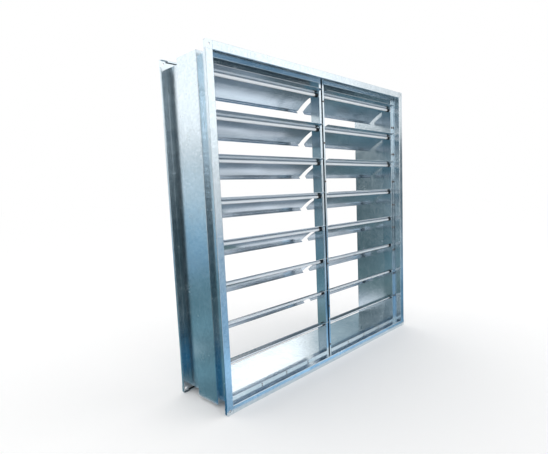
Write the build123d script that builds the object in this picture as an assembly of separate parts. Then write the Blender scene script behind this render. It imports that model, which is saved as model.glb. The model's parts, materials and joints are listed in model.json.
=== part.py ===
from build123d import *
import os
from math import cos, hypot, radians, sin, tan

# Multi-blade duct non-return damper, in millimetres, standing on its lower flange edges.
# +X is to the right seen from the inlet, +Y runs with the air from inlet to outlet, +Z is up.
# Depths below are measured from the inlet flange face.

# Duct and casing
CLEAR_WIDTH = 1200.0        # free width between the side panels
CLEAR_HEIGHT = 1200.0       # free height between the bottom and top panels
DEPTH = 280.0               # inlet flange face to outlet flange face
CASING_SHEET = 1.2
CASING_BEND = 2.4           # outside radius of the casing's folds
FLANGE_HEIGHT = 30.0        # flange face, from the duct wall to its outer edge
FLANGE_RETURN = 10.0        # lip folded back along the flange's outer edge
FLANGE_HEM = 6.0            # end of that lip, folded in towards the duct wall

# Flange corner pieces
CORNER_PLATE = 1.5
CORNER_GAP = 0.3            # open joint between a corner piece and the folded flanges
CORNER_ROUND = 5.0          # outer corner radius
CORNER_LEG = 80.0           # leg length past the duct's corner
CORNER_LEG_ROUND = 8.0
CORNER_PLAY = 0.4           # between a leg and the flange's folds beside it
BOLT_HOLE = 10.0            # hole diameter

# Stiffening band round the outside
BAND_START = 70.0           # depth of its front face
BAND_DEPTH = 118.0
BAND_RISE = 14.4            # height above the casing's outer face
BAND_SHEET = 1.2
BAND_BEND = 2.4

# Bearing frame: jambs, mullion and rails
FRAME_START = 39.0          # depth of the frame's front edge
FRAME_DEPTH = 54.0
FRAME_SHEET = 1.5
FRAME_BEND = 2.0
JAMB_STAND = 18.0           # from the side panel to the jamb's bearing face
JAMB_FOOT = 11.0            # foot welded to the side panel
MULLION_WIDTH = 32.0
MULLION_DEPTH = 50.0
MULLION_LIP = 11.0
RAIL_HEIGHT = 9.0
RAIL_DEPTH = 27.0
RAIL_SHEET = 1.2
RAIL_BEND = 2.0

# Shafts and bushes
SHAFT_DIAMETER = 12.0
SHAFT_AXIS = 60.0           # depth of the shafts
SHAFT_TAIL = 3.0            # free end past the right-hand bush
SHAFT_RUNNING_CLEARANCE = 0.05
BUSH_DIAMETER = 18.0
BUSH_COLLAR = 9.0           # length that stands proud of the bearing face
BUSH_TAIL = 3.0             # length that stands out behind the bearing sheet
BUSH_SEAT_CLEARANCE = 0.05

# Blades
ROWS = 8
BLADE_SHEET = 1.0
BLADE_END_PLAY = 1.0        # between a blade's end and the bush or frame beside it
BLADE_SEAT_CLEARANCE = 0.05
STRIP_LENGTH = 43.0         # flat leading strip, in front of the shaft
STRIP_LEAN = 13.0           # degrees by which the strip leans to the inlet with the blade hanging shut
PANEL_TURN = 24.0           # degrees through which the panel curves, from the shaft to its free edge
NOTCH_CLEARANCE = 4.0       # round a bush, in the notch at each end of a blade
BLADE_LAP = 18.0            # overlap of closed neighbours
TRAILING_LIP = 9.0          # flat part of the lip along the panel's free edge
TRAILING_BEND = 1.5         # inside radius of that lip's fold
TRAILING_FOLD = 90.0        # degrees by which that lip is folded to the inlet side
TRAILING_ROUND = 6.0        # corner radius of the panel's free corners
TIP_CLEARANCE = 2.0         # between the outermost blade edges and the rails
OPEN_ANGLE = 60.0           # degrees from hanging shut to the modelled position

# Linkage inside the left jamb
CRANK_CLOSED_ANGLE = -41.0  # degrees from +Y towards +Z with the blade hanging shut
CRANK_THICKNESS = 4.0
CRANK_HUB = 20.0            # hub diameter
CRANK_EYE = 13.0            # diameter of the arm's free end
CRANK_BORE_CLEARANCE = 0.02
PIN_DIAMETER = 6.0
PIN_HEAD = 10.0             # head diameter
PIN_HEAD_THICKNESS = 1.5
PIN_RUNNING_CLEARANCE = 0.05
TIE_BAR_WIDTH = 16.0
TIE_BAR_THICKNESS = 3.0
TIE_BAR_END = 12.0          # past the outermost pins
TIE_BAR_PLAY = 3.5          # to the jamb's rear web, where the tie bar swings nearest to it
LINK_GAP = 0.4              # side play between the linkage's pieces

# Worked out from the above
INLET = -DEPTH / 2
FLOOR = FLANGE_HEIGHT                       # top face of the bottom panel
CEILING = FLOOR + CLEAR_HEIGHT              # under face of the top panel
DUCT_CENTRE = Vector(0, INLET, FLOOR + CLEAR_HEIGHT / 2)
JAMB_FACE = CLEAR_WIDTH / 2 - JAMB_STAND
MULLION_FACE = MULLION_WIDTH / 2
SHAFT_RADIUS = SHAFT_DIAMETER / 2
SEAT_RADIUS = SHAFT_RADIUS + BLADE_SEAT_CLEARANCE
SHAFT_Y = INLET + SHAFT_AXIS

LEAN = radians(STRIP_LEAN)
TURN = radians(PANEL_TURN)
STRIP_REACH = hypot(SEAT_RADIUS + BLADE_SHEET, STRIP_LENGTH)
STRIP_TOP = SEAT_RADIUS * sin(LEAN) + STRIP_LENGTH * cos(LEAN)
SHARED_HEIGHT = CLEAR_HEIGHT - 2 * (RAIL_HEIGHT + TIP_CLEARANCE)
PITCH = (SHARED_HEIGHT - STRIP_REACH + STRIP_TOP - BLADE_LAP) / ROWS
PANEL_DROP = PITCH - STRIP_TOP + BLADE_LAP - TRAILING_BEND - BLADE_SHEET
PANEL_CHORD = (PANEL_DROP + SEAT_RADIUS * sin(LEAN)) / cos(LEAN - TURN / 2)
PANEL_RADIUS = PANEL_CHORD / (2 * sin(TURN / 2))
TOP_AXIS = CEILING - RAIL_HEIGHT - TIP_CLEARANCE - STRIP_REACH
ROW_AXES = [TOP_AXIS - row * PITCH for row in range(ROWS)]

BUSH_BACK = JAMB_FACE + FRAME_SHEET + BUSH_TAIL
CRANK_BACK = BUSH_BACK + LINK_GAP + CRANK_THICKNESS
TIE_BAR_BACK = CRANK_BACK + LINK_GAP + TIE_BAR_THICKNESS
JAMB_ROOM = FRAME_START + FRAME_DEPTH - FRAME_SHEET - SHAFT_AXIS    # behind the shafts
CRANK_RADIUS = JAMB_ROOM - TIE_BAR_PLAY - TIE_BAR_WIDTH / 2
CRANK_ANGLE = radians(CRANK_CLOSED_ANGLE + OPEN_ANGLE)
PIN_OFFSET = Vector(0, CRANK_RADIUS * cos(CRANK_ANGLE), CRANK_RADIUS * sin(CRANK_ANGLE))

LEFT = Vector(-1, 0, 0)
RIGHT = Vector(1, 0, 0)
UP = Vector(0, 0, 1)
DOWN = Vector(0, 0, -1)
AIRWARD = Vector(0, 1, 0)


def wall_plane(outward):
    """Section plane of one duct wall: x out of the duct, y with the air, from the inlet face."""
    half = CLEAR_HEIGHT / 2 if outward.Z else CLEAR_WIDTH / 2
    return Plane(DUCT_CENTRE + outward * half, x_dir=outward, z_dir=outward.cross(AIRWARD))


def sheet_section(path, sheet, side):
    """Section of a sheet whose one face follows the path and whose thickness lies on the given side."""
    return make_face(offset(path, amount=sheet, side=side).edges())


def folded_sheet(points, sheet, bend):
    """Section of a folded sheet: its show face along the points, its thickness to the right of them."""
    return sheet_section(FilletPolyline(*points, radius=bend), sheet, Side.RIGHT)


def bar_along_x(radius, start, end, y, z):
    """Round bar from x = start to x = end."""
    return Plane((start, y, z), z_dir=RIGHT) * extrude(Circle(radius), end - start)


def casing_panel(outward, length):
    """Duct wall with a flange, return lip and hem folded out at each end."""
    hem = FLANGE_HEIGHT - FLANGE_HEM
    rear_lip = DEPTH - FLANGE_RETURN
    section = folded_sheet(
        [(hem, FLANGE_RETURN), (FLANGE_HEIGHT, FLANGE_RETURN), (FLANGE_HEIGHT, 0), (0, 0),
         (0, DEPTH), (FLANGE_HEIGHT, DEPTH), (FLANGE_HEIGHT, rear_lip), (hem, rear_lip)],
        CASING_SHEET, CASING_BEND)
    return extrude(wall_plane(outward) * section, length / 2, both=True)


def corner_piece():
    """Pressed corner of the inlet flange, drawn at the upper left: a rimmed pad on an angle plate."""
    pad_side = FLANGE_HEIGHT - CASING_SHEET - CORNER_GAP
    outer = Vector(-CLEAR_WIDTH / 2 - FLANGE_HEIGHT, INLET, CEILING + FLANGE_HEIGHT)
    plane = Plane(outer, x_dir=RIGHT, z_dir=AIRWARD)
    square = Rectangle(pad_side, pad_side, align=Align.MIN)
    pad = fillet(square.vertices().sort_by_distance((0, 0, 0))[0], CORNER_ROUND)
    hollow_side = pad_side - CORNER_PLATE
    hollow_square = Pos(CORNER_PLATE, CORNER_PLATE) * Rectangle(hollow_side, hollow_side, align=Align.MIN)
    nearest = hollow_square.vertices().sort_by_distance((0, 0, 0))[0]
    hollow = fillet(nearest, CORNER_ROUND - CORNER_PLATE)
    pad_thickness = CASING_SHEET + CORNER_PLATE
    rimmed_pad = extrude(pad, FLANGE_RETURN)
    rimmed_pad -= Pos(0, 0, pad_thickness) * extrude(hollow, FLANGE_RETURN)

    margin = CASING_BEND + CORNER_PLAY
    leg_width = FLANGE_HEIGHT - 2 * margin
    leg_length = FLANGE_HEIGHT + CORNER_LEG - margin
    leg_along = Pos(margin, margin) * Rectangle(leg_length, leg_width, align=Align.MIN)
    leg_down = Pos(margin, margin) * Rectangle(leg_width, leg_length, align=Align.MIN)
    angle = leg_along + leg_down
    leg_ends = angle.vertices().sort_by(Axis.X)[-2:] + angle.vertices().sort_by(Axis.Y)[-2:]
    angle = fillet(leg_ends, CORNER_LEG_ROUND)
    piece = rimmed_pad + Pos(0, 0, CASING_SHEET) * extrude(angle, CORNER_PLATE)
    hole_inset = FLANGE_HEIGHT / 2
    piece -= Pos(hole_inset, hole_inset) * extrude(Circle(BOLT_HOLE / 2), pad_thickness)
    return plane * piece


def band_piece(outward, outer_length):
    """Stiffening channel on one side of the casing, mitred to its neighbours."""
    foot = CASING_SHEET
    top = foot + BAND_RISE
    end = BAND_START + BAND_DEPTH
    section = folded_sheet(
        [(foot, end), (top, end), (top, BAND_START), (foot, BAND_START)], BAND_SHEET, BAND_BEND)
    plane = wall_plane(outward)
    piece = extrude(plane * section, outer_length / 2, both=True)
    for way in (-1, 1):
        along = plane.z_dir * way
        half_span = CLEAR_WIDTH / 2 if outward.Z else CLEAR_HEIGHT / 2
        corner = plane.origin + along * half_span
        piece = split(piece, bisect_by=Plane(corner, z_dir=along - outward), keep=Keep.BOTTOM)
    return piece


def jamb(outward):
    """Bearing channel on a side panel, with a foot at each edge and a hole for each bush."""
    end = FRAME_START + FRAME_DEPTH
    section = folded_sheet(
        [(-FRAME_SHEET, FRAME_START - JAMB_FOOT), (-FRAME_SHEET, FRAME_START), (-JAMB_STAND, FRAME_START),
         (-JAMB_STAND, end), (-FRAME_SHEET, end), (-FRAME_SHEET, end + JAMB_FOOT)],
        FRAME_SHEET, FRAME_BEND)
    channel = extrude(wall_plane(outward) * section, CLEAR_HEIGHT / 2, both=True)
    face = JAMB_FACE * outward.X
    back = (JAMB_FACE + FRAME_SHEET) * outward.X
    return channel - bush_holes(min(face, back), max(face, back))


def mullion():
    """Lipped channel between the two banks, open towards the inlet, with a hole for each bush."""
    end = FRAME_START + MULLION_DEPTH
    lip = MULLION_FACE - MULLION_LIP
    section = folded_sheet(
        [(-lip, FRAME_START), (-MULLION_FACE, FRAME_START), (-MULLION_FACE, end),
         (MULLION_FACE, end), (MULLION_FACE, FRAME_START), (lip, FRAME_START)],
        FRAME_SHEET, FRAME_BEND)
    channel = Pos(0, INLET, FLOOR) * extrude(section, CLEAR_HEIGHT)
    return channel - bush_holes(-MULLION_FACE, MULLION_FACE)


def bush_holes(start, end):
    """Round cutters for the bush seats of every row, from x = start to x = end."""
    radius = BUSH_DIAMETER / 2 + BUSH_SEAT_CLEARANCE
    return [bar_along_x(radius, start, end, SHAFT_Y, axis) for axis in ROW_AXES]


def rail(outward, way):
    """Low channel across one bank, on the bottom or top panel."""
    end = FRAME_START + RAIL_DEPTH
    section = folded_sheet(
        [(0, FRAME_START), (-RAIL_HEIGHT, FRAME_START), (-RAIL_HEIGHT, end), (0, end)], RAIL_SHEET, RAIL_BEND)
    plane = wall_plane(outward)
    bank = JAMB_FACE - MULLION_FACE
    start = RIGHT * (way * (MULLION_FACE + bank / 2))
    return Pos(start) * extrude(plane * section, bank / 2, both=True)


def bushes(start, end):
    """One sleeve for each row, from x = start to x = end."""
    bore = SHAFT_RADIUS + SHAFT_RUNNING_CLEARANCE
    sleeves = []
    for axis in ROW_AXES:
        outside = bar_along_x(BUSH_DIAMETER / 2, start, end, SHAFT_Y, axis)
        sleeves.append(outside - bar_along_x(bore, start, end, SHAFT_Y, axis))
    return Compound(children=[sleeve.solid() for sleeve in sleeves])


def bush_notch():
    """Cutter for the notch in one end of a blade that clears the bush."""
    height = BUSH_DIAMETER + 2 * NOTCH_CLEARANCE
    return Box(BUSH_COLLAR, 2 * BUSH_DIAMETER, height, align=(Align.MIN, Align.CENTER, Align.CENTER))


def hanging_blade(length):
    """Blade about its shaft's axis, hanging shut, drawn across +X from x = 0."""
    section_plane = Plane((0, 0, 0), x_dir=AIRWARD, z_dir=RIGHT)
    touch = Vector(SEAT_RADIUS * cos(LEAN), SEAT_RADIUS * sin(LEAN))
    downward = Vector(sin(LEAN), -cos(LEAN))
    strip = Line(touch - downward * STRIP_LENGTH, touch)
    panel = JernArc(touch, downward, PANEL_RADIUS, -PANEL_TURN)
    sheet = extrude(section_plane * sheet_section(strip + panel, BLADE_SHEET, Side.LEFT), length)
    sheet -= [Pos(end, 0, 0) * bush_notch() for end in (0, length - BUSH_COLLAR)]
    short_edges = sheet.edges().filter_by(lambda edge: edge.length < 2 * BLADE_SHEET)
    sheet = fillet(short_edges.sort_by(Axis.Z)[:2], TRAILING_ROUND)
    fold = JernArc(panel @ 1, panel % 1, TRAILING_BEND, -TRAILING_FOLD)
    lip = Line(fold @ 1, fold @ 1 + (fold % 1) * TRAILING_LIP)
    lip_length = length - 2 * TRAILING_ROUND
    lip_section = sheet_section(fold + lip, BLADE_SHEET, Side.LEFT)
    return sheet + Pos(TRAILING_ROUND, 0, 0) * extrude(section_plane * lip_section, lip_length)


def crank():
    """Crank arm on a shaft's left end, with the headed pin that carries the tie bar."""
    plane = Plane((-CRANK_BACK, 0, 0), x_dir=AIRWARD, z_dir=RIGHT)
    eye = (CRANK_RADIUS * cos(CRANK_ANGLE), CRANK_RADIUS * sin(CRANK_ANGLE))
    outline = make_hull((Circle(CRANK_HUB / 2) + Pos(*eye) * Circle(CRANK_EYE / 2)).edges())
    outline -= Circle(SHAFT_RADIUS + CRANK_BORE_CLEARANCE)
    arm = plane * extrude(outline, CRANK_THICKNESS)
    shank_end = -(TIE_BAR_BACK + LINK_GAP)
    pin = bar_along_x(PIN_DIAMETER / 2, shank_end, -CRANK_BACK, *eye)
    head = bar_along_x(PIN_HEAD / 2, shank_end - PIN_HEAD_THICKNESS, shank_end, *eye)
    return arm + pin + head


def tie_bar():
    """Flat bar that links the crank pins of every row."""
    low = ROW_AXES[-1] + PIN_OFFSET.Z - TIE_BAR_END
    high = ROW_AXES[0] + PIN_OFFSET.Z + TIE_BAR_END
    pin_y = SHAFT_Y + PIN_OFFSET.Y
    plane = Plane((-TIE_BAR_BACK, pin_y, (low + high) / 2), x_dir=AIRWARD, z_dir=RIGHT)
    blank = RectangleRounded(TIE_BAR_WIDTH, high - low, TIE_BAR_WIDTH / 2 - LINK_GAP)
    bar = extrude(plane * blank, TIE_BAR_THICKNESS)
    hole = PIN_DIAMETER / 2 + PIN_RUNNING_CLEARANCE
    inner = -(TIE_BAR_BACK - TIE_BAR_THICKNESS)
    return bar - [bar_along_x(hole, -TIE_BAR_BACK, inner, pin_y, axis + PIN_OFFSET.Z) for axis in ROW_AXES]


def row_pieces():
    """Shaft, two blades and crank of every row, by node name."""
    blade_start = MULLION_FACE + BLADE_END_PLAY
    blade_end = JAMB_FACE - BLADE_END_PLAY
    blade = Rot(OPEN_ANGLE, 0, 0) * hanging_blade(blade_end - blade_start)
    arm = crank()
    pieces = {}
    for number, axis in enumerate(ROW_AXES, start=1):
        here = Pos(0, SHAFT_Y, axis)
        pieces[f"shaft_{number}"] = bar_along_x(
            SHAFT_RADIUS, -CRANK_BACK, BUSH_BACK + SHAFT_TAIL, SHAFT_Y, axis)
        pieces[f"left_blade_{number}"] = here * Pos(-blade_end, 0, 0) * blade
        pieces[f"right_blade_{number}"] = here * Pos(blade_start, 0, 0) * blade
        pieces[f"crank_arm_{number}"] = here * arm
    return pieces


def casing_pieces():
    """Folded panels, flange corners and stiffening band, by node name."""
    side_length = CLEAR_HEIGHT + 2 * CASING_SHEET
    band_reach = 2 * (CASING_SHEET + BAND_RISE)
    pieces = {}
    for name, outward in (("left", LEFT), ("right", RIGHT)):
        pieces[f"{name}_casing_panel"] = casing_panel(outward, side_length)
        pieces[f"{name}_band"] = band_piece(outward, CLEAR_HEIGHT + band_reach)
    for name, outward in (("top", UP), ("bottom", DOWN)):
        pieces[f"{name}_casing_panel"] = casing_panel(outward, CLEAR_WIDTH)
        pieces[f"{name}_band"] = band_piece(outward, CLEAR_WIDTH + band_reach)
    upper_left = corner_piece()
    level = Plane.XY.offset(DUCT_CENTRE.Z)
    uppers = {"left": upper_left, "right": mirror(upper_left, about=Plane.YZ)}
    for side, upper in uppers.items():
        for height, inlet_corner in (("top", upper), ("bottom", mirror(upper, about=level))):
            pieces[f"front_{height}_{side}_corner"] = inlet_corner
            pieces[f"rear_{height}_{side}_corner"] = mirror(inlet_corner, about=Plane.XZ)
    return pieces


def frame_pieces():
    """Jambs, mullion, rails, bushes and tie bar, by node name."""
    collar = JAMB_FACE - BUSH_COLLAR
    mullion_collar = MULLION_FACE + BUSH_COLLAR
    pieces = {
        "left_jamb": jamb(LEFT),
        "right_jamb": jamb(RIGHT),
        "mullion": mullion(),
        "left_jamb_bushes": bushes(-BUSH_BACK, -collar),
        "right_jamb_bushes": bushes(collar, BUSH_BACK),
        "mullion_bushes": bushes(-mullion_collar, mullion_collar),
        "tie_bar": tie_bar(),
    }
    for height, outward in (("top", UP), ("bottom", DOWN)):
        for side, way in (("left", -1), ("right", 1)):
            pieces[f"{height}_{side}_rail"] = rail(outward, way)
    return pieces


def main():
    """Write one file for each piece."""
    os.makedirs("parts", exist_ok=True)
    pieces = casing_pieces() | frame_pieces() | row_pieces()
    for name, piece in pieces.items():
        export_step(piece, f"parts/{name}.step")


if __name__ == "__main__":
    main()
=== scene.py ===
"""Finishes, small fittings, studio and camera of the multi-blade duct non-return damper."""

import json
import logging
import math
from collections.abc import Iterable
from dataclasses import dataclass
from enum import Enum
from typing import Any

import bmesh
import bpy
from mathutils import Matrix, Quaternion, Vector

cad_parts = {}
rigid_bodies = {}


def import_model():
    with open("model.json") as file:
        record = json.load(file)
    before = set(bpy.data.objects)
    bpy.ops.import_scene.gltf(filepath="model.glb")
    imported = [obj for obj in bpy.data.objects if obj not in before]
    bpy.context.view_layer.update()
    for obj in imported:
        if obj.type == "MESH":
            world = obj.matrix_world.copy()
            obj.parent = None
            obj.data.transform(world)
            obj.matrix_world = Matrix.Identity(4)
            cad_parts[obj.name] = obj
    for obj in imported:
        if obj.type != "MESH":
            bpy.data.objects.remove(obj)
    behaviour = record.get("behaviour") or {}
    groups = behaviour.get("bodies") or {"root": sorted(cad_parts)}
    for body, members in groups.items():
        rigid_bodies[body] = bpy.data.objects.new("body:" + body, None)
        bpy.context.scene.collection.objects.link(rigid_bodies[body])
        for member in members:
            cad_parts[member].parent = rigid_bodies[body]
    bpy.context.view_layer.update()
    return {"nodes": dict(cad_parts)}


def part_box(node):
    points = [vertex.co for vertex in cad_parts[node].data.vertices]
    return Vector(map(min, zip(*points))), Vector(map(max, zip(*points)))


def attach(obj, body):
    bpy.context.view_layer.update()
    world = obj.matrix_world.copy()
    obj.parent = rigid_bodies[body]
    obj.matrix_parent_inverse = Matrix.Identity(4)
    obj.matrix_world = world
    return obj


for startup_object in list(bpy.data.objects):
    bpy.data.objects.remove(startup_object)
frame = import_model()

LOG = logging.getLogger("damper")
MM = 0.001
ROWS = 8
IMAGE_WIDTH = 548
IMAGE_HEIGHT = 454
MERGE_DISTANCE = 0.01 * MM
FRONT = Vector((0, -1, 0))
BACK = Vector((0, 1, 0))
RIGHT = Vector((1, 0, 0))
UP = Vector((0, 0, 1))
# Chalky stains on the zinc: their look, and the noise at which they start and reach full strength.
STAIN_COLOUR = "#DDE6E8"
STAIN_ROUGHNESS = 0.55
STAIN_START = 0.45
STAIN_FULL = 0.75
# Uneven light on a studio card: size of its patches, the noise's usual range and the strength it gives.
CARD_PATCH_MM = 450.0
CARD_NOISE = (0.3, 0.7)
CARD_STRENGTH = (0.6, 1.4)
FLOOR_CARD_HEIGHT = 0.002
UNIT_HALF = 0.5


class Bank(Enum):
    """The two banks of blades, seen from the inlet."""

    LEFT = "left"
    RIGHT = "right"


class Level(Enum):
    """The duct's upper and lower side."""

    TOP = "top"
    BOTTOM = "bottom"


class End(Enum):
    """The duct's two flanged ends."""

    FRONT = "front"
    REAR = "rear"


class Slot(Enum):
    """Material slots of the record."""

    CASING = "galvanised_casing"
    FRAME = "galvanised_frame"
    BLADE = "galvanised_blade"
    CORNER = "zinc_plated_corner"
    SHAFT = "bright_shaft"
    LINKAGE = "linkage_steel"
    BUSH = "bush_plastic"


def linear_rgba(hex_colour: str) -> tuple[float, float, float, float]:
    """Turn an sRGB hex colour into linear red, green, blue and alpha.

    Args:
        hex_colour: Six hex digits with a leading #.

    Returns:
        The linear colour, with an alpha of 1.
    """
    parts = [int(hex_colour[start:start + 2], 16) / 255 for start in (1, 3, 5)]
    red, green, blue = (
        part / 12.92 if part <= 0.04045 else ((part + 0.055) / 1.055) ** 2.4 for part in parts
    )
    return red, green, blue, 1.0


def add_node(
    tree: bpy.types.NodeTree,
    kind: str,
    inputs: dict[str | int, Any] | None = None,
    **settings: Any,
) -> bpy.types.Node:
    """Add one node with its settings, values and links.

    Args:
        tree: Node tree that gets the node.
        kind: Blender's identifier of the node's type.
        inputs: A value or an output socket for each input, by name or index.
        settings: Properties of the node itself.

    Returns:
        The new node.
    """
    node = tree.nodes.new(kind)
    for name, value in settings.items():
        setattr(node, name, value)
    for key, value in (inputs or {}).items():
        if isinstance(value, bpy.types.NodeSocket):
            tree.links.new(value, node.inputs[key])
        else:
            node.inputs[key].default_value = value
    return node


def new_material(name: str) -> tuple[bpy.types.Material, bpy.types.NodeTree, bpy.types.Node]:
    """Make a material that has one Principled shader and no pattern yet.

    Args:
        name: Name of the material.

    Returns:
        The material, its node tree and its Principled shader.
    """
    material = bpy.data.materials.new(name)
    material.use_nodes = True
    tree = material.node_tree
    return material, tree, tree.nodes["Principled BSDF"]


def per_metre(size_mm: float) -> float:
    """Give the texture scale at which a pattern repeats over a size in millimetres."""
    return 1 / (size_mm * MM)


@dataclass(frozen=True)
class GalvanisedSheet:
    """Hot-dip galvanised steel sheet: dull blue-grey zinc with faint spangles and a slight ripple."""

    name: str
    dull: str
    bright: str
    roughness_low: float
    roughness_high: float
    spangle_mm: float
    spangle_share: float
    cloud_mm: float
    ripple_mm: float
    ripple_height_mm: float
    grain_mm: float
    grain_height_mm: float
    stain_mm: float
    stain_strength: float

    def material(self) -> bpy.types.Material:
        """Build the finish.

        Returns:
            The material, whose spangles and chalky stains change both tone and gloss.
        """
        material, tree, shader = new_material(self.name)
        place = add_node(tree, "ShaderNodeTexCoord").outputs["Object"]
        spangle = add_node(
            tree, "ShaderNodeTexVoronoi", {"Vector": place, "Scale": per_metre(self.spangle_mm)}
        )
        cloud = add_node(
            tree, "ShaderNodeTexNoise",
            {"Vector": place, "Scale": per_metre(self.cloud_mm), "Detail": 4.0},
        )
        tone = add_node(
            tree, "ShaderNodeMix",
            {
                "Factor": self.spangle_share,
                "A": cloud.outputs["Fac"],
                "B": spangle.outputs["Color"],
            },
        )
        colour = add_node(
            tree, "ShaderNodeMix",
            {
                "Factor": tone.outputs["Result"],
                "A": linear_rgba(self.dull),
                "B": linear_rgba(self.bright),
            },
            data_type="RGBA",
        )
        gloss = add_node(
            tree, "ShaderNodeMapRange",
            {
                "Value": tone.outputs["Result"],
                "To Min": self.roughness_low,
                "To Max": self.roughness_high,
            },
        )
        blotch = add_node(
            tree, "ShaderNodeTexNoise",
            {"Vector": place, "Scale": per_metre(self.stain_mm), "Detail": 6.0, "Roughness": 0.65},
        )
        stain = add_node(
            tree, "ShaderNodeMapRange",
            {
                "Value": blotch.outputs["Fac"],
                "From Min": STAIN_START,
                "From Max": STAIN_FULL,
                "To Max": self.stain_strength,
            },
        ).outputs["Result"]
        stained_colour = add_node(
            tree, "ShaderNodeMix",
            {"Factor": stain, "A": colour.outputs["Result"], "B": linear_rgba(STAIN_COLOUR)},
            data_type="RGBA",
        )
        stained_gloss = add_node(
            tree, "ShaderNodeMix",
            {"Factor": stain, "A": gloss.outputs["Result"], "B": STAIN_ROUGHNESS},
        )
        ripple = add_node(
            tree, "ShaderNodeTexNoise",
            {"Vector": place, "Scale": per_metre(self.ripple_mm), "Detail": 1.0},
        )
        grain = add_node(
            tree, "ShaderNodeTexNoise",
            {"Vector": place, "Scale": per_metre(self.grain_mm), "Detail": 2.0},
        )
        waves = add_node(
            tree, "ShaderNodeBump",
            {"Distance": self.ripple_height_mm * MM, "Height": ripple.outputs["Fac"]},
        )
        bump = add_node(
            tree, "ShaderNodeBump",
            {
                "Distance": self.grain_height_mm * MM,
                "Height": grain.outputs["Fac"],
                "Normal": waves.outputs["Normal"],
            },
        )
        shader.inputs["Metallic"].default_value = 1.0
        tree.links.new(stained_colour.outputs["Result"], shader.inputs["Base Color"])
        tree.links.new(stained_gloss.outputs["Result"], shader.inputs["Roughness"])
        tree.links.new(bump.outputs["Normal"], shader.inputs["Normal"])
        return material


@dataclass(frozen=True)
class DrawnSteel:
    """Bright drawn steel bar: clean pale metal with fine lines along its length."""

    name: str
    dull: str
    bright: str
    roughness_low: float
    roughness_high: float
    line_mm: float
    line_length_mm: float
    metallic: float

    def material(self) -> bpy.types.Material:
        """Build the finish.

        Returns:
            The material, whose drawing lines run along X.
        """
        material, tree, shader = new_material(self.name)
        place = add_node(tree, "ShaderNodeTexCoord").outputs["Object"]
        along = add_node(
            tree, "ShaderNodeMapping",
            {
                "Vector": place,
                "Scale": (
                    per_metre(self.line_length_mm), per_metre(self.line_mm), per_metre(self.line_mm)
                ),
            },
        )
        lines = add_node(
            tree, "ShaderNodeTexNoise", {"Vector": along.outputs["Vector"], "Scale": 1.0, "Detail": 2.0}
        )
        colour = add_node(
            tree, "ShaderNodeMix",
            {
                "Factor": lines.outputs["Fac"],
                "A": linear_rgba(self.dull),
                "B": linear_rgba(self.bright),
            },
            data_type="RGBA",
        )
        gloss = add_node(
            tree, "ShaderNodeMapRange",
            {
                "Value": lines.outputs["Fac"],
                "To Min": self.roughness_low,
                "To Max": self.roughness_high,
            },
        )
        shader.inputs["Metallic"].default_value = self.metallic
        tree.links.new(colour.outputs["Result"], shader.inputs["Base Color"])
        tree.links.new(gloss.outputs["Result"], shader.inputs["Roughness"])
        return material


@dataclass(frozen=True)
class MouldedNylon:
    """Moulded black nylon: nearly black with a fine moulded grain and a dull sheen."""

    name: str
    deep: str
    worn: str
    roughness: float
    grain_mm: float
    grain_height_mm: float
    grain_strength: float

    def material(self) -> bpy.types.Material:
        """Build the finish.

        Returns:
            The material, with a grain that shows in tone and relief.
        """
        material, tree, shader = new_material(self.name)
        place = add_node(tree, "ShaderNodeTexCoord").outputs["Object"]
        grain = add_node(
            tree, "ShaderNodeTexNoise",
            {"Vector": place, "Scale": per_metre(self.grain_mm), "Detail": 3.0},
        )
        colour = add_node(
            tree, "ShaderNodeMix",
            {
                "Factor": grain.outputs["Fac"],
                "A": linear_rgba(self.deep),
                "B": linear_rgba(self.worn),
            },
            data_type="RGBA",
        )
        bump = add_node(
            tree, "ShaderNodeBump",
            {
                "Strength": self.grain_strength,
                "Distance": self.grain_height_mm * MM,
                "Height": grain.outputs["Fac"],
            },
        )
        shader.inputs["Roughness"].default_value = self.roughness
        tree.links.new(colour.outputs["Result"], shader.inputs["Base Color"])
        tree.links.new(bump.outputs["Normal"], shader.inputs["Normal"])
        return material


@dataclass(frozen=True)
class ScorchedZinc:
    """Zinc burnt by a weld: rusty brown that fades into dull grey."""

    name: str
    rust: str
    burnt: str
    roughness: float
    metallic: float
    patch_mm: float
    patch_height_mm: float
    patch_strength: float

    def material(self) -> bpy.types.Material:
        """Build the finish.

        Returns:
            The material, with rust and burnt zinc in small patches.
        """
        material, tree, shader = new_material(self.name)
        place = add_node(tree, "ShaderNodeTexCoord").outputs["Object"]
        patch = add_node(
            tree, "ShaderNodeTexNoise",
            {"Vector": place, "Scale": per_metre(self.patch_mm), "Detail": 3.0},
        )
        colour = add_node(
            tree, "ShaderNodeMix",
            {
                "Factor": patch.outputs["Fac"],
                "A": linear_rgba(self.rust),
                "B": linear_rgba(self.burnt),
            },
            data_type="RGBA",
        )
        bump = add_node(
            tree, "ShaderNodeBump",
            {
                "Strength": self.patch_strength,
                "Distance": self.patch_height_mm * MM,
                "Height": patch.outputs["Fac"],
            },
        )
        shader.inputs["Metallic"].default_value = self.metallic
        shader.inputs["Roughness"].default_value = self.roughness
        tree.links.new(colour.outputs["Result"], shader.inputs["Base Color"])
        tree.links.new(bump.outputs["Normal"], shader.inputs["Normal"])
        return material


# Continuous hot-dip zinc on the casing: fine spangles, soft broad reflections.
CASING_ZINC = GalvanisedSheet(
    name="galvanised steel sheet",
    dull="#B7C6CF", bright="#E7EFF4",
    roughness_low=0.18, roughness_high=0.26,
    spangle_mm=8.0, spangle_share=0.38, cloud_mm=160.0,
    ripple_mm=260.0, ripple_height_mm=0.5,
    grain_mm=14.0, grain_height_mm=0.3,
    stain_mm=50.0, stain_strength=0.2,
)
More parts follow.
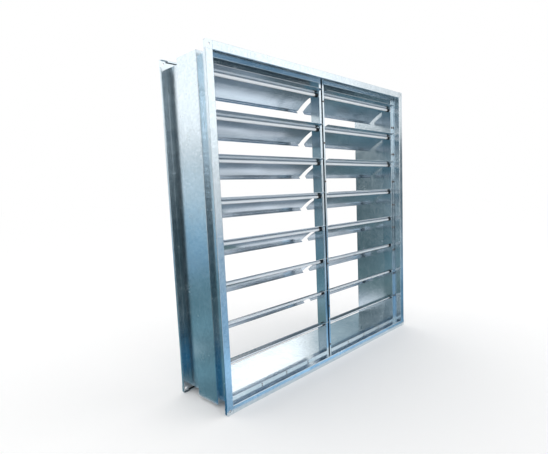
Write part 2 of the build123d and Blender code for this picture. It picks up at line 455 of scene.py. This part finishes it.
# The bearing frame is thicker sheet from the same bath. It is a little darker as painted shade,
# for the frame set back inside the casing.
FRAME_ZINC_PAINTED_SHADE = GalvanisedSheet(
    name="galvanised frame sheet with painted shade",
    dull="#B4C3CC", bright="#DAE4EA",
    roughness_low=0.14, roughness_high=0.22,
    spangle_mm=6.0, spangle_share=0.3, cloud_mm=120.0,
    ripple_mm=220.0, ripple_height_mm=0.3,
    grain_mm=12.0, grain_height_mm=0.2,
    stain_mm=40.0, stain_strength=0.2,
)
# The blades are smooth thin sheet: glossier, with ripples that bend what they reflect.
BLADE_ZINC = GalvanisedSheet(
    name="galvanised blade sheet",
    dull="#BFC8D0", bright="#DAE1E7",
    roughness_low=0.12, roughness_high=0.2,
    spangle_mm=10.0, spangle_share=0.15, cloud_mm=180.0,
    ripple_mm=200.0, ripple_height_mm=1.4,
    grain_mm=16.0, grain_height_mm=0.06,
    stain_mm=80.0, stain_strength=0.1,
)
# Electroplated corners: finer and more even than the dipped sheet.
CORNER_ZINC = GalvanisedSheet(
    name="zinc plated pressing",
    dull="#C4CFD6", bright="#DDE5EA",
    roughness_low=0.16, roughness_high=0.24,
    spangle_mm=3.0, spangle_share=0.1, cloud_mm=60.0,
    ripple_mm=60.0, ripple_height_mm=0.1,
    grain_mm=8.0, grain_height_mm=0.05,
    stain_mm=40.0, stain_strength=0.2,
)
# Drawn bar: pale and clean. Its near-white, mostly matt finish is a painted highlight that stays
# light beside the blades, where polished steel would mirror them dark. Its drawing lines are coarser
# than real ones, so that they show.
BAR_PAINTED_HIGHLIGHT = DrawnSteel(
    name="drawn steel with painted highlight",
    dull="#F1F5F7", bright="#FBFDFE",
    roughness_low=0.25, roughness_high=0.35,
    line_mm=0.8, line_length_mm=40.0,
    metallic=0.2,
)
# Plain mild steel of the linkage and the screws: darker than the bars, with coarser lines.
LINKAGE_STEEL = DrawnSteel(
    name="mild steel strip",
    dull="#8E9499", bright="#A9AFB3",
    roughness_low=0.34, roughness_high=0.48,
    line_mm=1.2, line_length_mm=25.0,
    metallic=1.0,
)
# Weld marks: small brown and grey burns on the bearing frame.
WELD_SCORCH = ScorchedZinc(
    name="scorched zinc",
    rust="#5E3A1E", burnt="#3B3733",
    roughness=0.6, metallic=0.4,
    patch_mm=4.0, patch_height_mm=0.3, patch_strength=0.6,
)
# Dark bush sleeves with a dull sheen. Their grain is coarser than a real one, so that it shows.
BUSH_NYLON = MouldedNylon(
    name="moulded black nylon",
    deep="#0D0E10", worn="#1B1D20",
    roughness=0.5,
    grain_mm=0.8, grain_height_mm=0.1, grain_strength=0.4,
)


@dataclass(frozen=True)
class Stud:
    """A small round mark or screw head, turned from its half profile."""

    profile_mm: tuple[tuple[float, float], ...]
    steps: int = 20

    def add(self, shape: bmesh.types.BMesh, foot: Vector, outward: Vector) -> None:
        """Turn one stud on a surface.

        Args:
            shape: Mesh that gets the stud.
            foot: Its centre on the surface.
            outward: The surface's normal there.
        """
        chain = [shape.verts.new((radius * MM, 0, height * MM)) for radius, height in self.profile_mm]
        edges = [shape.edges.new(pair) for pair in zip(chain, chain[1:])]
        first = len(shape.verts) - len(chain)
        bmesh.ops.spin(
            shape, geom=chain + edges, cent=(0, 0, 0), axis=(0, 0, 1), angle=math.tau,
            steps=self.steps, use_merge=True,
        )
        shape.verts.ensure_lookup_table()
        place = Matrix.Translation(foot) @ outward.to_track_quat("Z", "Y").to_matrix().to_4x4()
        bmesh.ops.transform(shape, matrix=place, verts=shape.verts[first:])


def surface_point(node: str, start: Vector, towards: Vector) -> tuple[Vector, Vector]:
    """Find where a straight line first meets a CAD node.

    Args:
        node: Name of the node.
        start: Start of the line.
        towards: Its direction.

    Returns:
        The point on the node and the node's outward normal there.

    Raises:
        ValueError: The line misses the node.
    """
    met, point, normal, _ = frame["nodes"][node].ray_cast(start, towards)
    if not met:
        raise ValueError(f"the line misses {node}")
    return point, normal


def studded_piece(
    name: str, stud: Stud, seats: Iterable[tuple[Vector, Vector]], body: str
) -> bpy.types.Object:
    """Make one piece of all the studs of one kind on one body.

    Args:
        name: Name of the piece.
        stud: Shape of each stud.
        seats: Centre and outward normal of each.
        body: CAD body that carries them.

    Returns:
        The piece.
    """
    shape = bmesh.new()
    for foot, outward in seats:
        stud.add(shape, foot, outward)
    bmesh.ops.remove_doubles(shape, verts=shape.verts, dist=MERGE_DISTANCE)
    bmesh.ops.recalc_face_normals(shape, faces=shape.faces)
    mesh = bpy.data.meshes.new(name)
    shape.to_mesh(mesh)
    shape.free()
    mesh.shade_smooth()
    piece = bpy.data.objects.new(name, mesh)
    bpy.context.scene.collection.objects.link(piece)
    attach(piece, body)
    return piece


# Each profile lists radius and height from the middle out; the rim dips just under the surface.
# Spot welds: shallow dishes with a raised, burnt rim, smaller on the narrower members.
JAMB_WELD = Stud(((0.0, 0.1), (2.6, 0.2), (4.1, 0.7), (5.6, 0.5), (6.5, -0.1)))
MULLION_WELD = Stud(((0.0, 0.1), (1.8, 0.2), (2.8, 0.7), (3.7, 0.5), (4.4, -0.1)))
RAIL_WELD = Stud(((0.0, 0.1), (1.2, 0.2), (1.9, 0.5), (2.6, 0.4), (3.0, -0.1)))
# A pan-head screw.
PAN_HEAD = Stud(((0.0, 2.6), (1.8, 2.5), (3.2, 1.9), (3.9, 0.9), (4.0, -0.1)))


class Dresser:
    """Gives CAD nodes and added pieces their finishes."""

    def __init__(self) -> None:
        """Build one material for each slot of the record."""
        self.materials: dict[Slot, bpy.types.Material] = {
            Slot.CASING: CASING_ZINC.material(),
            Slot.FRAME: FRAME_ZINC_PAINTED_SHADE.material(),
            Slot.BLADE: BLADE_ZINC.material(),
            Slot.CORNER: CORNER_ZINC.material(),
            Slot.SHAFT: BAR_PAINTED_HIGHLIGHT.material(),
            Slot.LINKAGE: LINKAGE_STEEL.material(),
            Slot.BUSH: BUSH_NYLON.material(),
        }
        self.scorch = WELD_SCORCH.material()

    def dress(self, names: Iterable[str], slot: Slot) -> None:
        """Give CAD nodes a finish.

        Args:
            names: Names of the nodes.
            slot: Slot whose finish they take.
        """
        for name in names:
            for material_slot in frame["nodes"][name].material_slots:
                material_slot.material = self.materials[slot]
            LOG.info("%s: %s", name, self.materials[slot].name)

    def dress_piece(self, piece: bpy.types.Object, finish: bpy.types.Material) -> None:
        """Give an added piece its finish.

        Args:
            piece: The added piece.
            finish: Material that it shows.
        """
        piece.data.materials.append(finish)
        LOG.info("%s: %s", piece.name, finish.name)


@dataclass
class Casing:
    """Folded outer panels, stiffening bands and pressed corners."""

    sides: tuple[Bank | Level, ...] = (*Bank, *Level)

    def dress(self, dresser: Dresser) -> None:
        """Dress the panels, bands and corners.

        Args:
            dresser: Source of the finishes.
        """
        dresser.dress((f"{side.value}_casing_panel" for side in self.sides), Slot.CASING)
        dresser.dress((f"{side.value}_band" for side in self.sides), Slot.CASING)
        dresser.dress(
            (
                f"{end.value}_{level.value}_{bank.value}_corner"
                for end in End for level in Level for bank in Bank
            ),
            Slot.CORNER,
        )


@dataclass
class BearingFrame:
    """Jambs, mullion, rails and the bushes they carry, with their weld marks."""

    probe_y: float = -301 * MM      # in front of the frame; each mark is placed straight behind it
    jamb_web_x: float = 590 * MM
    jamb_marks_mm: tuple[int, ...] = (1083, 943, 798, 673, 550, 426, 296, 170)
    mullion_lip_x: float = 9.6 * MM
    mullion_marks_mm: tuple[int, ...] = (1149, 973, 806, 440, 244, 63)
    rail_web_z: float = 34 * MM
    rail_marks_mm: tuple[int, ...] = (151, 286, 424)

    def dress(self, dresser: Dresser) -> None:
        """Dress the frame members and bushes.

        Args:
            dresser: Source of the finishes.
        """
        dresser.dress(("left_jamb", "right_jamb", "mullion"), Slot.FRAME)
        dresser.dress((f"{level.value}_{bank.value}_rail" for level in Level for bank in Bank), Slot.FRAME)
        dresser.dress(("left_jamb_bushes", "right_jamb_bushes", "mullion_bushes"), Slot.BUSH)

    def build_weld_marks(self, dresser: Dresser) -> None:
        """Put the burnt spots where the frame is welded.

        Args:
            dresser: Source of the finishes.
        """
        lip_spots = [(self.mullion_lip_x, height * MM) for height in self.mullion_marks_mm]
        spots = {"mullion": (MULLION_WELD, lip_spots)}
        for bank, way in ((Bank.LEFT, -1), (Bank.RIGHT, 1)):
            jamb_spots = [(way * self.jamb_web_x, height * MM) for height in self.jamb_marks_mm]
            rail_spots = [(way * place * MM, self.rail_web_z) for place in self.rail_marks_mm]
            spots[f"{bank.value}_jamb"] = (JAMB_WELD, jamb_spots)
            spots[f"bottom_{bank.value}_rail"] = (RAIL_WELD, rail_spots)
        for node, (stud, places) in spots.items():
            seats = [
                surface_point(node, Vector((across, self.probe_y, up)), BACK) for across, up in places
            ]
            piece = studded_piece(f"{node}_weld_marks", stud, seats, "casing")
            dresser.dress_piece(piece, dresser.scorch)


@dataclass
class BladeRow:
    """One shaft with its left and right blade, their screws and its crank arm."""

    number: int
    screw_inset: float = 78 * MM    # from either end of a blade
    screw_offset: float = 11 * MM   # from the shaft's axis, along the panel
    panel_droop: float = 17.0       # degrees by which the panel falls away beside the shaft
    probe: float = 20 * MM          # under the panel; each screw is placed straight above it

    def dress(self, dresser: Dresser) -> None:
        """Dress the shaft, blades and crank.

        Args:
            dresser: Source of the finishes.
        """
        dresser.dress((f"shaft_{self.number}",), Slot.SHAFT)
        dresser.dress((f"{bank.value}_blade_{self.number}" for bank in Bank), Slot.BLADE)
        dresser.dress((f"crank_arm_{self.number}",), Slot.LINKAGE)

    def build_screws(self, dresser: Dresser) -> None:
        """Put two screws beside the shaft on each blade of the row.

        Args:
            dresser: Source of the finishes.
        """
        low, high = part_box(f"shaft_{self.number}")
        axis = (Vector(low) + Vector(high)) / 2
        droop = math.radians(self.panel_droop)
        along = Vector((0, math.cos(droop), -math.sin(droop)))
        under = Vector((0, -math.sin(droop), -math.cos(droop)))
        start = axis + along * self.screw_offset + under * self.probe
        seats = []
        for bank in Bank:
            blade = f"{bank.value}_blade_{self.number}"
            low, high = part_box(blade)
            for place in (low[0] + self.screw_inset, high[0] - self.screw_inset):
                seats.append(surface_point(blade, Vector((place, start.y, start.z)), -under))
        piece = studded_piece(f"blade_screws_{self.number}", PAN_HEAD, seats, f"row_{self.number}")
        dresser.dress_piece(piece, dresser.materials[Slot.LINKAGE])


@dataclass(frozen=True)
class SoftBox:
    """A square studio lamp, large enough to give soft light."""

    name: str
    place: Vector
    aim: Vector
    side: float
    watts: float

    def build(self) -> bpy.types.Object:
        """Hang the lamp.

        Returns:
            The lamp's object.
        """
        lamp = bpy.data.lights.new(self.name, "AREA")
        lamp.shape = "SQUARE"
        lamp.size = self.side
        lamp.energy = self.watts
        box = bpy.data.objects.new(self.name, lamp)
        box.location = self.place
        box.rotation_mode = "QUATERNION"
        box.rotation_quaternion = (self.aim - self.place).to_track_quat("-Z", "Y")
        bpy.context.scene.collection.objects.link(box)
        return box


@dataclass(frozen=True)
class Flag:
    """A studio card that shows in reflections alone."""

    name: str
    centre: Vector
    facing: Vector
    width: float
    height: float
    shade: str
    strength: float = 1.0

    @classmethod
    def on_floor(
        cls, name: str, across: tuple[float, float], along: tuple[float, float], shade: str
    ) -> "Flag":
        """Lay a card just above the floor.

        Args:
            name: Name of the card.
            across: Its range in X.
            along: Its range in Y.
            shade: Its colour.

        Returns:
            The card.
        """
        centre = Vector((sum(across) / 2, sum(along) / 2, FLOOR_CARD_HEIGHT))
        return cls(name, centre, UP, across[1] - across[0], along[1] - along[0], shade)

    def material(self) -> bpy.types.Material:
        """Build the card's glow.

        Returns:
            The material, uneven in patches and never sampled as a lamp.
        """
        material, tree, shader = new_material(self.name)
        shader.inputs["Base Color"].default_value = linear_rgba("#000000")
        shader.inputs["Specular IOR Level"].default_value = 0.0
        shader.inputs["Emission Color"].default_value = linear_rgba(self.shade)
        place = add_node(tree, "ShaderNodeTexCoord").outputs["Object"]
        patch = add_node(
            tree, "ShaderNodeTexNoise", {"Vector": place, "Scale": per_metre(CARD_PATCH_MM), "Detail": 1.0}
        )
        strength = add_node(
            tree, "ShaderNodeMapRange",
            {
                "Value": patch.outputs["Fac"],
                "From Min": CARD_NOISE[0],
                "From Max": CARD_NOISE[1],
                "To Min": CARD_STRENGTH[0] * self.strength,
                "To Max": CARD_STRENGTH[1] * self.strength,
            },
        )
        tree.links.new(strength.outputs["Result"], shader.inputs["Emission Strength"])
        material.cycles.emission_sampling = "NONE"
        return material

    def build(self) -> bpy.types.Object:
        """Stand the card up.

        Returns:
            The card.
        """
        mesh = bpy.data.meshes.new(self.name)
        shape = bmesh.new()
        bmesh.ops.create_grid(shape, x_segments=1, y_segments=1, size=UNIT_HALF)
        bmesh.ops.scale(shape, vec=(self.width, self.height, 1.0), verts=shape.verts)
        turn = self.facing.to_track_quat("Z", "Y").to_matrix()
        bmesh.ops.rotate(shape, matrix=turn, verts=shape.verts)
        bmesh.ops.translate(shape, vec=self.centre, verts=shape.verts)
        shape.to_mesh(mesh)
        shape.free()
        mesh.materials.append(self.material())
        card = bpy.data.objects.new(self.name, mesh)
        card.visible_camera = False
        card.visible_diffuse = False
        card.visible_shadow = False
        card.visible_transmission = False
        bpy.context.scene.collection.objects.link(card)
        return card


AIM = Vector((0, 0, 0.7))
LAMPS = (
    SoftBox("front_right_softbox", Vector((2.3, -3.2, 2.5)), AIM, side=3.0, watts=14.0),
    SoftBox("rear_left_softbox", Vector((-2.6, 2.9, 2.1)), AIM, side=1.4, watts=3.0),
    SoftBox("rear_right_softbox", Vector((2.2, 2.9, 1.75)), AIM, side=1.3, watts=5.0),
)
# Floor cards: name, range in X, range in Y and shade.
# Standing cards: name, centre, facing, width, height and shade.
FLAGS = (
    Flag.on_floor("left_near_floor_flag", (-4.0, -0.634), (-0.02, 2.2), "#668B98"),
    Flag.on_floor("left_middle_floor_flag", (-5.0, -0.634), (2.2, 3.8), "#82AAC6"),
    Flag.on_floor("left_far_floor_flag", (-8.0, -0.634), (3.8, 8.0), "#9CC8E2"),
    Flag.on_floor("left_horizon_floor_flag", (-24.0, -0.634), (8.0, 24.0), "#BADCF2"),
    Flag.on_floor("blue_floor_flag", (-1.05, -0.634), (-0.7, -0.02), "#31799F"),
    Flag.on_floor("front_left_floor_flag", (-4.0, -1.05), (-4.0, -0.02), "#4C686E"),
    Flag.on_floor("rear_left_floor_flag", (-0.634, 0.1), (0.16, 5.0), "#6A8386"),
    Flag.on_floor("rear_near_floor_flag", (0.1, 0.95), (0.16, 0.36), "#F2F8FF"),
    Flag.on_floor("rear_middle_floor_flag", (0.1, 0.95), (0.36, 0.55), "#8292A0"),
    Flag.on_floor("rear_back_floor_flag", (0.1, 0.95), (0.55, 1.3), "#8E9CA8"),
    Flag.on_floor("rear_right_floor_flag", (0.95, 5.0), (0.16, 1.5), "#62727A"),
    Flag.on_floor("rear_far_floor_flag", (0.8, 5.0), (1.5, 5.0), "#43545E"),
    Flag.on_floor("near_left_floor_flag", (-0.634, -0.15), (-2.2, -0.16), "#B2DDFF"),
    Flag.on_floor("near_middle_floor_flag", (-0.15, 0.5), (-2.2, -0.16), "#97BFDF"),
    Flag.on_floor("near_right_floor_flag", (0.5, 6.0), (-1.0, -0.16), "#658EA8"),
    Flag.on_floor("front_floor_flag", (0.5, 2.4), (-2.5, -1.0), "#C0D6E8"),
    Flag.on_floor("far_floor_flag", (0.5, 6.0), (-5.0, -2.5), "#5F93B6"),
    Flag.on_floor("right_floor_flag", (2.4, 6.0), (-2.2, -1.0), "#6B8999"),
    Flag("rear_flag", Vector((1.0, 2.6, 0.9)), FRONT, 3.8, 0.6, "#8397A3"),
    Flag("rear_low_flag", Vector((2.3, 2.6, 0.3)), FRONT, 6.4, 0.6, "#1D2C35"),
    Flag("rear_right_flag", Vector((4.3, 2.6, 1.5)), FRONT, 2.4, 1.8, "#95AEB9"),
    Flag("near_left_flag", Vector((-0.62, 1.2, 0.62)), RIGHT + FRONT, 0.95, 1.3, "#4A6066"),
    Flag("camera_side_flag", Vector((-2.6, -2.6, 0.45)), RIGHT + BACK, 4.0, 0.9, "#5E7078"),
    Flag("camera_side_card", Vector((-3.0, -3.4, 2.0)), RIGHT + BACK, 1.8, 1.7, "#EEF8FF", strength=2.2),
    Flag("near_side_flag", Vector((-0.92, -0.3, 0.75)), BACK, 0.24, 1.5, "#2E4146"),
    Flag("right_flag", Vector((5.5, 0.8, 1.0)), -RIGHT, 4.5, 2.0, "#6E8087"),
    Flag("front_right_flag", Vector((5.35, -2.15, 0.8)), BACK - RIGHT, 2.1, 1.6, "#39535F"),
    Flag("front_flag", Vector((2.9, -3.4, 1.05)), BACK, 1.2, 1.3, "#4C5A64"),
    Flag("left_flag", Vector((-3.4, 2.5, 0.85)), RIGHT, 1.5, 1.7, "#7C96A2"),
    Flag("left_sky_flag", Vector((-12.3, 24.0, 1.6)), FRONT, 23.4, 3.2, "#E6F6FF"),
    Flag("left_patch_flag", Vector((-0.79, 0.575, 2 * FLOOR_CARD_HEIGHT)), UP, 0.32, 0.35, "#98B4BE"),
)


@dataclass
class Studio:
    """White surroundings, pale floor, soft lamps, cards and the camera."""

    world_colour: str = "#FFFFFF"
    floor_colour: str = "#FFFFFF"
    floor_half: float = 30.0
    floor_speck_mm: float = 400.0
    floor_roughness: tuple[float, float] = (0.85, 1.0)
    camera_place: Vector = Vector((-1461.89, -1253.56, 771.72)) * MM
    camera_azimuth: float = 45.683
    camera_elevation: float = -6.548
    camera_roll: float = 2.407
    focal_px: float = 417.83
    centre_px: tuple[float, float] = (281.83, 239.20)
    sensor_mm: float = 36.0

    def build_world(self) -> None:
        """Make the surroundings white."""
        world = bpy.data.worlds.new("white studio")
        world.use_nodes = True
        world.node_tree.nodes["Background"].inputs["Color"].default_value = linear_rgba(self.world_colour)
        bpy.context.scene.world = world

    def build_floor(self) -> bpy.types.Object:
        """Lay the floor.

        Returns:
            The floor.
        """
        mesh = bpy.data.meshes.new("studio_floor")
        shape = bmesh.new()
        bmesh.ops.create_grid(shape, x_segments=1, y_segments=1, size=self.floor_half)
        shape.to_mesh(mesh)
        shape.free()
        material, tree, shader = new_material("matt white floor")
        place = add_node(tree, "ShaderNodeTexCoord").outputs["Object"]
        speck = add_node(
            tree, "ShaderNodeTexNoise", {"Vector": place, "Scale": per_metre(self.floor_speck_mm)}
        )
        gloss = add_node(
            tree, "ShaderNodeMapRange",
            {
                "Value": speck.outputs["Fac"],
                "To Min": self.floor_roughness[0],
                "To Max": self.floor_roughness[1],
            },
        )
        shader.inputs["Base Color"].default_value = linear_rgba(self.floor_colour)
        shader.inputs["Specular IOR Level"].default_value = 0.0
        tree.links.new(gloss.outputs["Result"], shader.inputs["Roughness"])
        mesh.materials.append(material)
        floor = bpy.data.objects.new("studio_floor", mesh)
        bpy.context.scene.collection.objects.link(floor)
        return floor

    def build_camera(self) -> bpy.types.Object:
        """Set the camera up at the photograph's viewpoint.

        Returns:
            The camera, made the scene's own.
        """
        lens = bpy.data.cameras.new("photo_camera")
        lens.sensor_fit = "HORIZONTAL"
        lens.sensor_width = self.sensor_mm
        lens.lens = self.focal_px * self.sensor_mm / IMAGE_WIDTH
        lens.shift_x = (IMAGE_WIDTH / 2 - self.centre_px[0]) / IMAGE_WIDTH
        lens.shift_y = (self.centre_px[1] - IMAGE_HEIGHT / 2) / IMAGE_WIDTH
        camera = bpy.data.objects.new("photo_camera", lens)
        azimuth = math.radians(self.camera_azimuth)
        elevation = math.radians(self.camera_elevation)
        ahead = Vector(
            (
                math.sin(azimuth) * math.cos(elevation),
                math.cos(azimuth) * math.cos(elevation),
                math.sin(elevation),
            )
        )
        roll = Quaternion(UP, -math.radians(self.camera_roll))
        camera.location = self.camera_place
        camera.rotation_mode = "QUATERNION"
        camera.rotation_quaternion = ahead.to_track_quat("-Z", "Y") @ roll
        bpy.context.scene.collection.objects.link(camera)
        bpy.context.scene.camera = camera
        return camera

    def build(self) -> None:
        """Build the whole studio."""
        bpy.context.scene.view_settings.view_transform = "Standard"
        self.build_world()
        self.build_floor()
        self.build_camera()
        for fitting in (*LAMPS, *FLAGS):
            fitting.build()


def main() -> None:
    """Dress the damper, set up the studio and report each piece."""
    logging.basicConfig(level=logging.INFO, format="%(name)s %(message)s")
    dresser = Dresser()
    Casing().dress(dresser)
    bearing_frame = BearingFrame()
    bearing_frame.dress(dresser)
    bearing_frame.build_weld_marks(dresser)
    for number in range(1, ROWS + 1):
        row = BladeRow(number)
        row.dress(dresser)
        row.build_screws(dresser)
    dresser.dress(("tie_bar",), Slot.LINKAGE)
    Studio().build()


if __name__ == "__main__":
    main()
